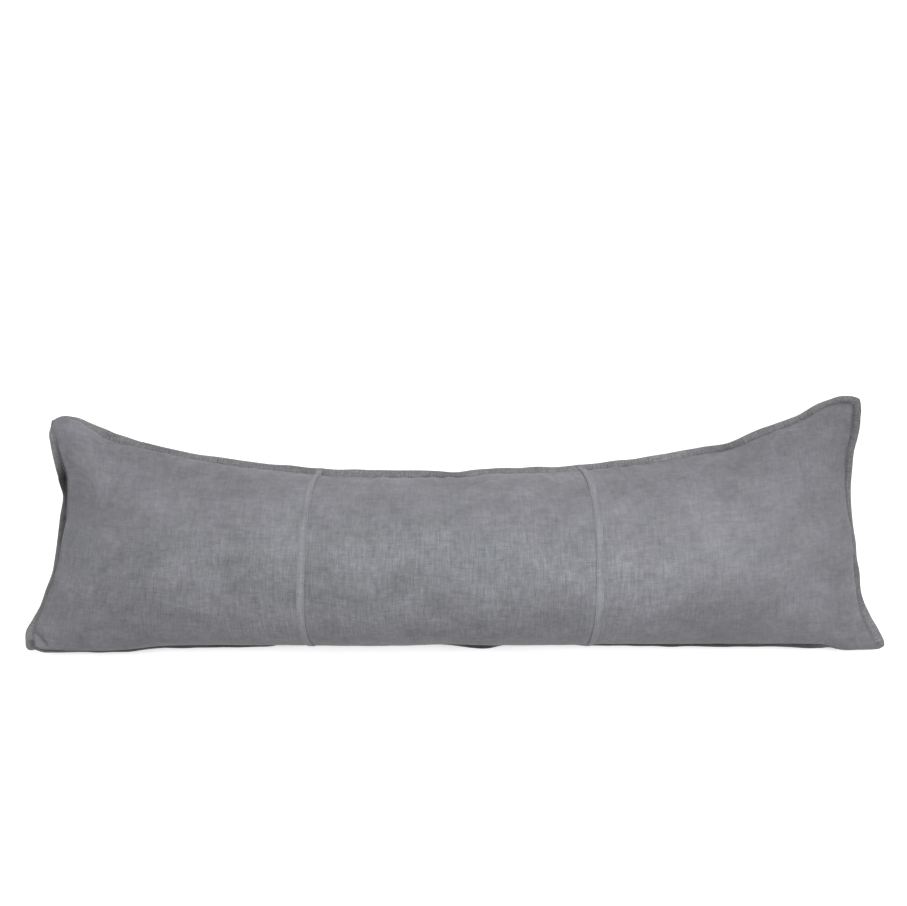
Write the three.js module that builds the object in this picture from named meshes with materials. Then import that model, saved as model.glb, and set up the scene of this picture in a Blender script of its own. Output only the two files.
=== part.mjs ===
// A long lumbar cushion of washed linen, lying on its back with its face up.
// X runs along its length, +Y is the edge that is uppermost on a sofa, and +Z comes out of the face.
// The face is three panels joined by two flat-felled seams, and a narrow flange runs all round.
import * as THREE from "three";

// Driving dimensions, in millimetres
const FLANGE_WIDTH = 12;
const FLANGE_THICKNESS = 2.4;
const CORNER_SQUARENESS = 0.5; // 0 for flange corners as wide as the rest, more for sharper ones
const SEAM_WIDTH = 9;
const SEAM_THICKNESS = 1.5;
const PIECE_GAP = 0.3;
const CHANNEL_DEPTH = 2.5;
const CHANNEL_REACH = 26;
const FLOOR_BLEND = 5; // how softly the back leaves the surface it lies on

// Where the two felled seams cross the face, as shares of the length
const SEAM_SHARES = [0.319, 0.671];

// Cloth colours and finish
const PANEL_COLOUR = 0x88888d;
const FLANGE_COLOUR = 0x7c7c82;
const SEAM_COLOUR = 0x97979c;
const CLOTH_ROUGHNESS = 0.95;

// How finely the shape is divided
const END_PANEL_COLUMNS = 25;
const MIDDLE_PANEL_COLUMNS = 20;
const ROWS = 22;

// Cross-sections from the left end to the right one. share: place along the length, top: height in Y of
// the upper seam, bottom: lowest point of the lower edge, topZ and bottomZ: how high those lie, crown and
// back: how far the face and the back stand off from there.
const SECTIONS = [
  { share: 0.0, top: 139.5, bottom: -176, topZ: 64, bottomZ: 42, crown: 0, back: 0 },
  { share: 0.012, top: 145.3, bottom: -181.2, topZ: 63, bottomZ: 44, crown: 16, back: 15 },
  { share: 0.025, top: 142.3, bottom: -181.6, topZ: 62.5, bottomZ: 46, crown: 29, back: 27 },
  { share: 0.04, top: 131, bottom: -181.3, topZ: 62, bottomZ: 48, crown: 41, back: 39 },
  { share: 0.053, top: 119.5, bottom: -181, topZ: 62, bottomZ: 50, crown: 49, back: 46 },
  { share: 0.071, top: 110, bottom: -180.5, topZ: 63.5, bottomZ: 53.5, crown: 57, back: 54 },
  { share: 0.1, top: 102.5, bottom: -178.2, topZ: 66, bottomZ: 58.5, crown: 67, back: 66 },
  { share: 0.147, top: 90.5, bottom: -171.3, topZ: 72, bottomZ: 66, crown: 79, back: 81 },
  { share: 0.209, top: 77.5, bottom: -169, topZ: 77.5, bottomZ: 73, crown: 88, back: 91 },
  { share: 0.272, top: 70, bottom: -168.6, topZ: 81, bottomZ: 77, crown: 92, back: 96 },
  { share: 0.348, top: 63, bottom: -168.9, topZ: 84.5, bottomZ: 80, crown: 95, back: 99 },
  { share: 0.428, top: 61, bottom: -168.2, topZ: 86, bottomZ: 81, crown: 97, back: 100 },
  { share: 0.495, top: 61, bottom: -166.6, topZ: 86, bottomZ: 81, crown: 97, back: 100 },
  { share: 0.562, top: 66.5, bottom: -168.2, topZ: 86, bottomZ: 81, crown: 97, back: 100 },
  { share: 0.628, top: 68, bottom: -167.6, topZ: 85.5, bottomZ: 80.5, crown: 96, back: 99.5 },
  { share: 0.718, top: 75, bottom: -166.5, topZ: 83, bottomZ: 78.5, crown: 92.5, back: 97 },
  { share: 0.768, top: 82.5, bottom: -167.3, topZ: 80.5, bottomZ: 76, crown: 89, back: 94 },
  { share: 0.818, top: 92.5, bottom: -167.8, topZ: 77, bottomZ: 71.5, crown: 84, back: 89 },
  { share: 0.849, top: 98, bottom: -168.5, topZ: 73.5, bottomZ: 67.5, crown: 79.5, back: 83 },
  { share: 0.891, top: 117.3, bottom: -169.4, topZ: 69, bottomZ: 60.5, crown: 69.5, back: 69 },
  { share: 0.938, top: 139.5, bottom: -171.4, topZ: 64.5, bottomZ: 51.5, crown: 55, back: 52 },
  { share: 0.973, top: 160.5, bottom: -179.8, topZ: 62, bottomZ: 45, crown: 35, back: 32 },
  { share: 0.988, top: 164.8, bottom: -177.2, topZ: 62, bottomZ: 42.5, crown: 20, back: 18 },
  { share: 0.996, top: 163.8, bottom: -174.8, topZ: 62, bottomZ: 41, crown: 9.5, back: 8.5 },
  { share: 1.0, top: 162.3, bottom: -172, topZ: 62, bottomZ: 40, crown: 0, back: 0 },
];

// How the two long edges turn, in degrees. roll: how far the lower seam is turned under the body, lower
// and upper: how far the flange is turned back along those edges.
const LONG_EDGES = [
  { share: 0.0, roll: 0, lower: 55, upper: 88 },
  { share: 0.018, roll: 2.5, lower: 74, upper: 88 },
  { share: 0.028, roll: 4, lower: 72, upper: 83 },
  { share: 0.04, roll: 6, lower: 68, upper: 62 },
  { share: 0.048, roll: 6.9, lower: 66, upper: 40 },
  { share: 0.057, roll: 8, lower: 64, upper: 16 },
  { share: 0.071, roll: 8.3, lower: 61, upper: 8 },
  { share: 0.1, roll: 9, lower: 60, upper: 50 },
  { share: 0.147, roll: 9, lower: 52, upper: 54 },
  { share: 0.209, roll: 9, lower: 47, upper: 41 },
  { share: 0.262, roll: 9, lower: 55, upper: 47 },
  { share: 0.29, roll: 9, lower: 76, upper: 45.5 },
  { share: 0.428, roll: 9, lower: 78, upper: 31 },
  { share: 0.495, roll: 9, lower: 54, upper: 37 },
  { share: 0.535, roll: 9, lower: 34, upper: 46.8 },
  { share: 0.562, roll: 9, lower: 58, upper: 51 },
  { share: 0.594, roll: 9, lower: 76, upper: 51 },
  { share: 0.628, roll: 9, lower: 78, upper: 51 },
  { share: 0.669, roll: 9, lower: 55, upper: 47.6 },
  { share: 0.718, roll: 9, lower: 50, upper: 37 },
  { share: 0.818, roll: 9, lower: 47, upper: 31 },
  { share: 0.849, roll: 9, lower: 47, upper: 24 },
  { share: 0.891, roll: 9, lower: 49, upper: 32 },
  { share: 0.929, roll: 8.3, lower: 42, upper: 44.5 },
  { share: 0.942, roll: 8, lower: 44, upper: 47 },
  { share: 0.956, roll: 6.5, lower: 72, upper: 47.6 },
  { share: 0.973, roll: 4, lower: 78, upper: 48 },
  { share: 0.988, roll: 1.8, lower: 66, upper: 37 },
  { share: 0.996, roll: 0.6, lower: 53, upper: 28 },
  { share: 1.0, roll: 0, lower: 34, upper: 20 },
];

// The two short end seams from the lower corner to the upper one. share: place up the edge, left and
// right: where the seam runs in X, sag: how far it hangs below a straight line between its corners,
// leftTurn and rightTurn: degrees that the flange there is turned back.
const SHORT_EDGES = [
  { share: 0.0, left: -590, right: 592.3, sag: 0, leftTurn: 15, rightTurn: 12 },
  { share: 0.05, left: -590.3, right: 584, sag: 2, leftTurn: 10, rightTurn: 8 },
  { share: 0.1, left: -586, right: 575, sag: 3.5, leftTurn: 36, rightTurn: 14 },
  { share: 0.16, left: -579, right: 568.5, sag: 5.5, leftTurn: 56, rightTurn: 37 },
  { share: 0.22, left: -572.8, right: 565, sag: 7, leftTurn: 62, rightTurn: 45 },
  { share: 0.29, left: -565, right: 562, sag: 9, leftTurn: 62, rightTurn: 47 },
  { share: 0.385, left: -557, right: 560.5, sag: 11, leftTurn: 58, rightTurn: 52 },
  { share: 0.48, left: -550.5, right: 557, sag: 12, leftTurn: 44, rightTurn: 58 },
  { share: 0.56, left: -545.5, right: 552, sag: 12, leftTurn: 39, rightTurn: 52 },
  { share: 0.66, left: -543.5, right: 547.5, sag: 11.5, leftTurn: 56, rightTurn: 32 },
  { share: 0.75, left: -541.5, right: 546, sag: 9, leftTurn: 20, rightTurn: 18 },
  { share: 0.8, left: -545, right: 547, sag: 7.5, leftTurn: 22, rightTurn: 16 },
  { share: 0.865, left: -550, right: 550.8, sag: 5, leftTurn: 24, rightTurn: 18 },
  { share: 0.93, left: -554, right: 553.3, sag: 2, leftTurn: 32, rightTurn: 16 },
  { share: 0.955, left: -556.9, right: 553.7, sag: 1.3, leftTurn: 50, rightTurn: 17 },
  { share: 0.97, left: -558.5, right: 554.6, sag: 1, leftTurn: 70, rightTurn: 18 },
  { share: 1.0, left: -556.5, right: 553.6, sag: 0, leftTurn: 88, rightTurn: 20 },
];
const LEFT_REST = -556; // where each end lies on average
const RIGHT_REST = 556;
const LENGTH = RIGHT_REST - LEFT_REST;
const END_FADE = 5; // how fast the bow of an end seam dies out towards the middle

// The long edges are gathered, which draws the felled seams towards the middle there
const TOP_GATHER = 15;
const LEFT_GATHER_SHARPNESS = 3.5; // how close to the edge that stays
const RIGHT_GATHER_SHARPNESS = 10.5;
const BOTTOM_GATHER = 12;
const BOTTOM_GATHER_SHARPNESS = 8;

// The section is an ellipse in the middle and thins to a pointed lens at the ends.
const MIDDLE_ROUNDNESS = 1.0;
const END_ROUNDNESS = 1.75;
const ROUNDNESS_FADE = 3;

// Soft waves of the flange: side and share of that side, reach along it, lift out of its own plane.
const FLANGE_WAVES = [
  { side: "top", share: 0.495, reach: 26, lift: -3 },
  { side: "top", share: 0.849, reach: 22, lift: -3 },
  { side: "left", share: 0.75, reach: 24, lift: 2 },
  { side: "right", share: 0.3, reach: 20, lift: 1 },
  { side: "bottom", share: 0.36, reach: 60, lift: -2 },
  { side: "bottom", share: 0.6, reach: 30, lift: -2 },
];
const SIDE_LENGTH = { top: 1100, bottom: 1180, left: 310, right: 330 };

// Soft dimples where the cloth gathers at the upper seam. share: place along the length, reach: width,
// depth: how far the face is drawn in beside the seam.
const GATHERS = [
  { share: 0.09, reach: 34, depth: 4 },
  { share: 0.21, reach: 30, depth: 3 },
  { share: 0.41, reach: 30, depth: 3 },
  { share: 0.495, reach: 22, depth: 5 },
  { share: 0.6, reach: 30, depth: 3 },
  { share: 0.76, reach: 34, depth: 3 },
  { share: 0.85, reach: 24, depth: 6 },
];
const GATHER_SHARPNESS = 3; // how close to the seam a dimple stays

// Small steps and limits used when directions are worked out
const SHARE_STEP = 0.001;
const ANGLE_STEP = 0.1;
const LEAST_RISE = 0.01; // below this the edge of the body counts as flat
const LEAST_FACING = 0.5; // keeps the seam from standing too far off in the bend beside the flange

// The slope of a table column at one row, kept level at peaks so that the curve never overshoots
function slopeAt(table, column, row) {
  const step = (from) =>
    (table[from + 1][column] - table[from][column]) / (table[from + 1].share - table[from].share);
  if (row === 0) return step(0);
  if (row === table.length - 1) return step(row - 1);
  const before = step(row - 1);
  const after = step(row);
  return before * after <= 0 ? 0 : (2 * before * after) / (before + after);
}

// A smooth curve through one column of a table
function along(table, column, share) {
  let row = 0;
  while (row < table.length - 2 && share > table[row + 1].share) row += 1;
  const from = table[row];
  const to = table[row + 1];
  const width = to.share - from.share;
  const t = (share - from.share) / width;
  const rise = t * t * (3 - 2 * t);
  const leave = t * (1 - t) * (1 - t) * width * slopeAt(table, column, row);
  const arrive = t * t * (1 - t) * width * slopeAt(table, column, row + 1);
  return from[column] * (1 - rise) + to[column] * rise + leave - arrive;
}

const bump = (offset, reach) => Math.exp(-((offset / reach) ** 2));
const mix = THREE.MathUtils.lerp;
const radians = THREE.MathUtils.degToRad;

// How far up the section a place lies, from 0 at the lower edge to 1 at the upper one
const heightShare = (angle) => (1 + Math.sin(radians(angle))) / 2;

// Lifts a height that would sink into the surface below, so that the back lies flat on it
function aboveFloor(height) {
  if (height >= FLOOR_BLEND) return height;
  return height <= -FLOOR_BLEND ? 0 : (height + FLOOR_BLEND) ** 2 / (4 * FLOOR_BLEND);
}

// How far the face is drawn in by the felled seams and by the gathers at the upper edge
function drawnIn(share, up) {
  let depth = 0;
  for (const seam of SEAM_SHARES) {
    depth += CHANNEL_DEPTH * bump((share - seam) * LENGTH, CHANNEL_REACH);
  }
  for (const gather of GATHERS) {
    depth += gather.depth * up ** GATHER_SHARPNESS * bump((share - gather.share) * LENGTH, gather.reach);
  }
  return depth;
}

// A point of the filled body. The angle turns round the section from 0 at the crown to 90 at the upper
// seam, and on round the back.
function bodyPoint(share, angle) {
  const section = (column) => along(SECTIONS, column, share);
  const up = heightShare(angle);
  const nearLeft = (1 - share) ** END_FADE;
  const nearRight = share ** END_FADE;

  const sharpness = mix(LEFT_GATHER_SHARPNESS, RIGHT_GATHER_SHARPNESS, share);
  const gather = TOP_GATHER * up ** sharpness + BOTTOM_GATHER * (1 - up) ** BOTTOM_GATHER_SHARPNESS;
  const x =
    mix(LEFT_REST, RIGHT_REST, share) +
    (along(SHORT_EDGES, "left", up) - LEFT_REST) * nearLeft +
    (along(SHORT_EDGES, "right", up) - RIGHT_REST) * nearRight +
    gather * Math.sin(2 * Math.PI * share);
  const y = mix(section("bottom"), section("top"), up);
  const sag = along(SHORT_EDGES, "sag", up) * (nearLeft + nearRight);
  const rest = mix(section("bottomZ"), section("topZ"), up) - sag;

  const nearEnds = Math.abs(2 * share - 1) ** ROUNDNESS_FADE;
  const roundness = mix(MIDDLE_ROUNDNESS, END_ROUNDNESS, nearEnds);
  const lean = Math.cos(radians(angle));
  const fullness = Math.abs(lean) ** roundness;
  if (lean < 0) return new THREE.Vector3(x, y, aboveFloor(rest - section("back") * fullness));
  return new THREE.Vector3(x, y, rest + (section("crown") - drawnIn(share, up)) * fullness);
}

const lowerSeamAngle = (share) => -90 - along(LONG_EDGES, "roll", share);
const faceAngle = (share, row) => mix(lowerSeamAngle(share), 90, row / ROWS);
const backAngle = (share, row) => mix(360 + lowerSeamAngle(share), 90, row / ROWS);

// Shares along the length: closer together at the ends, with both edges of each felled seam among them
function columnShares() {
  const half = SEAM_WIDTH / 2 / LENGTH;
  const [left, right] = SEAM_SHARES;
  const shares = [];
  for (let i = 0; i <= END_PANEL_COLUMNS; i += 1) {
    shares.push((left - half) * (1 - Math.cos((Math.PI / 2) * (i / END_PANEL_COLUMNS))));
  }
  for (let i = 0; i <= MIDDLE_PANEL_COLUMNS; i += 1) {
    shares.push(mix(left + half, right - half, i / MIDDLE_PANEL_COLUMNS));
  }
  for (let i = 0; i <= END_PANEL_COLUMNS; i += 1) {
    shares.push(mix(right + half, 1, Math.sin((Math.PI / 2) * (i / END_PANEL_COLUMNS))));
  }
  return shares;
}

const SHARES = columnShares();
const LAST_COLUMN = SHARES.length - 1;

// The stitch line all round, counter-clockwise from the lower left corner
function seamLoop() {
  const loop = [];
  const add = (column, row, side, share) => {
    const across = SHARES[column];
    const angle = faceAngle(across, row);
    loop.push({ point: bodyPoint(across, angle), column, side, share, angle });
  };
  for (let i = 0; i <= LAST_COLUMN; i += 1) add(i, 0, "bottom", SHARES[i]);
  for (let j = 1; j < ROWS; j += 1) add(LAST_COLUMN, j, "right", j / ROWS);
  for (let i = LAST_COLUMN; i >= 0; i -= 1) add(i, ROWS, "top", SHARES[i]);
  for (let j = ROWS - 1; j > 0; j -= 1) add(0, j, "left", j / ROWS);
  return loop;
}

function flangeLift(side, share) {
  let lift = 0;
  for (const wave of FLANGE_WAVES) {
    if (wave.side !== side) continue;
    lift += wave.lift * bump((share - wave.share) * SIDE_LENGTH[side], wave.reach);
  }
  return lift;
}

// How many degrees the flange is turned back at one place of the stitch line
function flangeTurn({ side, share, angle }) {
  if (side === "bottom") return along(LONG_EDGES, "lower", share);
  if (side === "top") return along(LONG_EDGES, "upper", share);
  return along(SHORT_EDGES, side === "left" ? "leftTurn" : "rightTurn", heightShare(angle));
}

// Turns a level outward direction down by some degrees, and gives the direction square to it
function turnedDown(outward, degrees) {
  const down = radians(degrees);
  const level = new THREE.Vector3(0, 0, 1);
  return {
    out: outward.clone().multiplyScalar(Math.cos(down)).addScaledVector(level, -Math.sin(down)),
    face: outward.clone().multiplyScalar(Math.sin(down)).addScaledVector(level, Math.cos(down)),
  };
}

// How many degrees the lower edge of the body is turned down at its seam
function edgeTurn(share, outward) {
  const seam = lowerSeamAngle(share);
  const step = 180 / ROWS;
  const across = bodyPoint(share, seam + step).sub(bodyPoint(share, seam - step));
  return THREE.MathUtils.radToDeg(Math.atan2(across.dot(outward), Math.max(across.z, LEAST_RISE)));
}

// The flange beside each point of the stitch line: its inner and outer edge and which way each faces
function flangeSections() {
  const loop = seamLoop();
  const square = (from, to) => new THREE.Vector3(to.y - from.y, from.x - to.x, 0).normalize();
  return loop.map((place, index) => {
    const before = loop[(index + loop.length - 1) % loop.length].point;
    const after = loop[(index + 1) % loop.length].point;
    const next = square(place.point, after);
    const outward = square(before, place.point).add(next).normalize();
    const mitre = 1 + CORNER_SQUARENESS * (1 / outward.dot(next) - 1);
    const root = turnedDown(outward, place.side === "bottom" ? edgeTurn(place.share, outward) : 0);
    const rim = turnedDown(outward, flangeTurn(place));
    const inner = place.point.clone().addScaledVector(root.out, PIECE_GAP * mitre);
    const outer = inner
      .clone()
      .addScaledVector(rim.out, FLANGE_WIDTH * mitre)
      .addScaledVector(rim.face, flangeLift(place.side, place.share));
    return { ...place, root, rim, inner, outer };
  });
}

function solid(name, points, triangles, colour) {
  const geometry = new THREE.BufferGeometry();
  geometry.setAttribute(
    "position",
    new THREE.Float32BufferAttribute(points.flatMap((point) => [point.x, point.y, point.z]), 3),
  );
  geometry.setIndex(triangles);
  geometry.computeVertexNormals();
  const material = new THREE.MeshStandardMaterial({ color: colour, roughness: CLOTH_ROUGHNESS });
  const mesh = new THREE.Mesh(geometry, material);
  mesh.name = name;
  return mesh;
}

// Two triangles for a four-cornered patch, split along its shorter diagonal
function patch(points, a, b, c, d) {
  const shorter = points[a].distanceTo(points[c]) <= points[b].distanceTo(points[d]);
  return shorter ? [a, b, c, a, c, d] : [b, c, d, b, d, a];
}

// Face and back share their points along the stitch line, so they close into one filled solid
function cushionBody() {
  const points = [];
  const triangles = [];
  const grid = (angleAt, onEdge) => {
    const corners = [];
    for (let i = 0; i <= LAST_COLUMN; i += 1) {
      corners.push([]);
      for (let j = 0; j <= ROWS; j += 1) {
        const edge = i === 0 || i === LAST_COLUMN || j === 0 || j === ROWS;
        if (edge && onEdge) {
          corners[i].push(onEdge[i][j]);
          continue;
        }
        corners[i].push(points.length);
        points.push(bodyPoint(SHARES[i], angleAt(SHARES[i], j)));
      }
    }
    return corners;
  };
  const face = grid(faceAngle, null);
  const back = grid(backAngle, face);
  for (let i = 0; i < LAST_COLUMN; i += 1) {
    for (let j = 0; j < ROWS; j += 1) {
      triangles.push(...patch(points, face[i][j], face[i + 1][j], face[i + 1][j + 1], face[i][j + 1]));
      triangles.push(...patch(points, back[i][j], back[i][j + 1], back[i + 1][j + 1], back[i + 1][j]));
    }
  }
  return solid("cushion_body", points, triangles, PANEL_COLOUR);
}

// Joins four-cornered sections into a bar, either round in a ring or with closed ends
function bar(name, sections, ring, colour) {
  const corners = 4;
  const points = sections.flat();
  const triangles = [];
  const last = ring ? sections.length : sections.length - 1;
  for (let i = 0; i < last; i += 1) {
    const here = i * corners;
    const there = ((i + 1) % sections.length) * corners;
    for (let k = 0; k < corners; k += 1) {
      const next = (k + 1) % corners;
      triangles.push(...patch(points, here + k, here + next, there + next, there + k));
    }
  }
  if (!ring) {
    const end = (sections.length - 1) * corners;
    triangles.push(...patch(points, 3, 2, 1, 0), ...patch(points, end, end + 1, end + 2, end + 3));
  }
  return solid(name, points, triangles, colour);
}

function flange(sections) {
  const half = FLANGE_THICKNESS / 2;
  const corners = sections.map(({ inner, outer, root, rim }) => [
    inner.clone().addScaledVector(root.face, -half),
    inner.clone().addScaledVector(root.face, half),
    outer.clone().addScaledVector(rim.face, half),
    outer.clone().addScaledVector(rim.face, -half),
  ]);
  return bar("flange", corners, true, FLANGE_COLOUR);
}

// The way the face of the body looks at one of its points
function faceNormal(share, angle) {
  const here = bodyPoint(share, angle);
  const sideways = bodyPoint(share + SHARE_STEP, angle).sub(here);
  const upward = bodyPoint(share, angle + ANGLE_STEP).sub(here);
  return sideways.cross(upward).normalize();
}

// One edge of a felled seam, from the rim of the upper flange over the face to the rim of the lower one.
// Each place has a point of the cloth below and the direction in which the seam stands up from it.
function seamEdge(sections, column) {
  const share = SHARES[column];
  const half = FLANGE_THICKNESS / 2;
  const beside = (side) => sections.find((place) => place.side === side && place.column === column);
  const rimOf = ({ outer, rim }) => {
    return { base: outer.clone().addScaledVector(rim.face, half), stand: rim.face };
  };
  const rootOf = ({ inner, root, rim }, row) => {
    const body = faceNormal(share, faceAngle(share, row));
    const stand = body.clone().add(rim.face).normalize();
    stand.divideScalar(Math.max(stand.dot(rim.face), LEAST_FACING));
    return { base: inner.clone().addScaledVector(root.face, half), stand };
  };
  const top = beside("top");
  const bottom = beside("bottom");
  const path = [rimOf(top), rootOf(top, ROWS - 1)];
  for (let j = ROWS - 1; j > 0; j -= 1) {
    const angle = faceAngle(share, j);
    path.push({ base: bodyPoint(share, angle), stand: faceNormal(share, angle) });
  }
  path.push(rootOf(bottom, 1), rimOf(bottom));
  return path;
}

function felledSeam(name, sections, column) {
  const left = seamEdge(sections, column);
  const right = seamEdge(sections, column + 1);
  const at = ({ base, stand }, height) => base.clone().addScaledVector(stand, height);
  const upper = PIECE_GAP + SEAM_THICKNESS;
  const corners = left.map((place, index) => [
    at(right[index], PIECE_GAP),
    at(right[index], upper),
    at(place, upper),
    at(place, PIECE_GAP),
  ]);
  return bar(name, corners, false, SEAM_COLOUR);
}

const sections = flangeSections();
const cushion = new THREE.Group();
cushion.name = "lumbar_cushion";
cushion.add(cushionBody());
cushion.add(flange(sections));
cushion.add(felledSeam("felled_seam_left", sections, END_PANEL_COLUMNS));
cushion.add(felledSeam("felled_seam_right", sections, END_PANEL_COLUMNS + MIDDLE_PANEL_COLUMNS + 1));

// The origin is on the surface below, under the middle of the whole outline
const box = new THREE.Box3().setFromObject(cushion);
const middle = box.getCenter(new THREE.Vector3());
cushion.position.set(-middle.x, -middle.y, -box.min.z);

export default cushion;
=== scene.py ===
import math

import bpy
import numpy as np
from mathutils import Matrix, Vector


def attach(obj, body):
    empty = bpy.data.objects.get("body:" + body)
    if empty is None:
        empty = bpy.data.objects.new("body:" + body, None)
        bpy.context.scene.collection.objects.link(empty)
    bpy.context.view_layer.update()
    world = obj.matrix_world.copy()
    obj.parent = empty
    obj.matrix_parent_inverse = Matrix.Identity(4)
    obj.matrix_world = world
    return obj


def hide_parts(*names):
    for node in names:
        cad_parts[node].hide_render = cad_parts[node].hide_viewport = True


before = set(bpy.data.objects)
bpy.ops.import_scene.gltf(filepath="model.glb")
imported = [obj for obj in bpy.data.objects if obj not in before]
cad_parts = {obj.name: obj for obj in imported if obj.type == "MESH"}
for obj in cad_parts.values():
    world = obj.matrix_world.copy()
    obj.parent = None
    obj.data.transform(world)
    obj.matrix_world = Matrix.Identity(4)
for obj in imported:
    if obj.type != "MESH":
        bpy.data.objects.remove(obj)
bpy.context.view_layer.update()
scene = bpy.context.scene

MM = 0.001


def table(columns, *rows):
    """A table with named columns, one row for each place."""
    return dict(zip(columns.split(), np.array(rows, float).T))


def side_tables(columns, **sides):
    """A table with the same columns for each side."""
    return {side: table(columns, *rows) for side, rows in sides.items()}


def rows_of(rows):
    """The rows of a table, one after another."""
    return zip(*rows.values())


# The filled body, by the same tables as the solids. Cross-sections from the left end to the right one:
# top and bottom: the long edges in Y, top_z and bottom_z: how high those lie, crown and back: how far the
# face and the back stand off from there.
SECTIONS = table(
    "share top bottom top_z bottom_z crown back",
    (0.0, 139.5, -176, 64, 42, 0, 0),
    (0.012, 145.3, -181.2, 63, 44, 16, 15),
    (0.025, 142.3, -181.6, 62.5, 46, 29, 27),
    (0.04, 131, -181.3, 62, 48, 41, 39),
    (0.053, 119.5, -181, 62, 50, 49, 46),
    (0.071, 110, -180.5, 63.5, 53.5, 57, 54),
    (0.1, 102.5, -178.2, 66, 58.5, 67, 66),
    (0.147, 90.5, -171.3, 72, 66, 79, 81),
    (0.209, 77.5, -169, 77.5, 73, 88, 91),
    (0.272, 70, -168.6, 81, 77, 92, 96),
    (0.348, 63, -168.9, 84.5, 80, 95, 99),
    (0.428, 61, -168.2, 86, 81, 97, 100),
    (0.495, 61, -166.6, 86, 81, 97, 100),
    (0.562, 66.5, -168.2, 86, 81, 97, 100),
    (0.628, 68, -167.6, 85.5, 80.5, 96, 99.5),
    (0.718, 75, -166.5, 83, 78.5, 92.5, 97),
    (0.768, 82.5, -167.3, 80.5, 76, 89, 94),
    (0.818, 92.5, -167.8, 77, 71.5, 84, 89),
    (0.849, 98, -168.5, 73.5, 67.5, 79.5, 83),
    (0.891, 117.3, -169.4, 69, 60.5, 69.5, 69),
    (0.938, 139.5, -171.4, 64.5, 51.5, 55, 52),
    (0.973, 160.5, -179.8, 62, 45, 35, 32),
    (0.988, 164.8, -177.2, 62, 42.5, 20, 18),
    (0.996, 163.8, -174.8, 62, 41, 9.5, 8.5),
    (1.0, 162.3, -172, 62, 40, 0, 0),
)

# How the long edges turn, in degrees. roll: how far the lower seam is turned under the body, lower and
# upper: how far the flange is turned back there.
LONG_EDGES = table(
    "share roll lower upper",
    (0.0, 0, 55, 88),
    (0.018, 2.5, 74, 88),
    (0.028, 4, 72, 83),
    (0.04, 6, 68, 62),
    (0.048, 6.9, 66, 40),
    (0.057, 8, 64, 16),
    (0.071, 8.3, 61, 8),
    (0.1, 9, 60, 50),
    (0.147, 9, 52, 54),
    (0.209, 9, 47, 41),
    (0.262, 9, 55, 47),
    (0.29, 9, 76, 45.5),
    (0.428, 9, 78, 31),
    (0.495, 9, 54, 37),
    (0.535, 9, 34, 46.8),
    (0.562, 9, 58, 51),
    (0.594, 9, 76, 51),
    (0.628, 9, 78, 51),
    (0.669, 9, 55, 47.6),
    (0.718, 9, 50, 37),
    (0.818, 9, 47, 31),
    (0.849, 9, 47, 24),
    (0.891, 9, 49, 32),
    (0.929, 8.3, 42, 44.5),
    (0.942, 8, 44, 47),
    (0.956, 6.5, 72, 47.6),
    (0.973, 4, 78, 48),
    (0.988, 1.8, 66, 37),
    (0.996, 0.6, 53, 28),
    (1.0, 0, 34, 20),
)

# The short end seams from the lower corner to the upper one. left and right: where they run in X, sag: how
# far they hang, left_turn and right_turn: degrees that the flange is turned back there.
SHORT_EDGES = table(
    "share left right sag left_turn right_turn",
    (0.0, -590, 592.3, 0, 15, 12),
    (0.05, -590.3, 584, 2, 10, 8),
    (0.1, -586, 575, 3.5, 36, 14),
    (0.16, -579, 568.5, 5.5, 56, 37),
    (0.22, -572.8, 565, 7, 62, 45),
    (0.29, -565, 562, 9, 62, 47),
    (0.385, -557, 560.5, 11, 58, 52),
    (0.48, -550.5, 557, 12, 44, 58),
    (0.56, -545.5, 552, 12, 39, 52),
    (0.66, -543.5, 547.5, 11.5, 56, 32),
    (0.75, -541.5, 546, 9, 20, 18),
    (0.8, -545, 547, 7.5, 22, 16),
    (0.865, -550, 550.8, 5, 24, 18),
    (0.93, -554, 553.3, 2, 32, 16),
    (0.955, -556.9, 553.7, 1.3, 50, 17),
    (0.97, -558.5, 554.6, 1, 70, 18),
    (1.0, -556.5, 553.6, 0, 88, 20),
)

# Straight ends of the body, from which the end seams stray by a power of the distance to the other end
LEFT_REST = -556.0
RIGHT_REST = 556.0
LENGTH = RIGHT_REST - LEFT_REST
END_FADE = 5

# The long edges are gathered, which draws the cloth towards the middle there
TOP_GATHER = 15
LEFT_GATHER_SHARPNESS = 3.5
RIGHT_GATHER_SHARPNESS = 10.5
BOTTOM_GATHER = 12
BOTTOM_GATHER_SHARPNESS = 8

# Sections are round in the middle of the length and thin out towards their edges at the ends
MIDDLE_ROUNDNESS = 1.0
END_ROUNDNESS = 1.75
ROUNDNESS_FADE = 3
FLOOR_BLEND = 5  # height over which the back rounds off into its flat part
ORIGIN_SHIFT = (-1.0, 5.49)  # brings the tables to the frame of the solids

# The felled seams that join the three face panels, and the channels that they draw in
SEAM_SHARES = (0.319, 0.671)
SEAM_WIDTH = 9
CHANNEL_DEPTH = 2.5
CHANNEL_REACH = 26

# Dimples where the face gathers at the upper seam
GATHERS = table(
    "share reach depth",
    (0.09, 34, 4), (0.21, 30, 3), (0.41, 30, 3), (0.495, 22, 5), (0.6, 30, 3), (0.76, 34, 3),
    (0.85, 24, 6),
)
GATHER_SHARPNESS = 3

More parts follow.
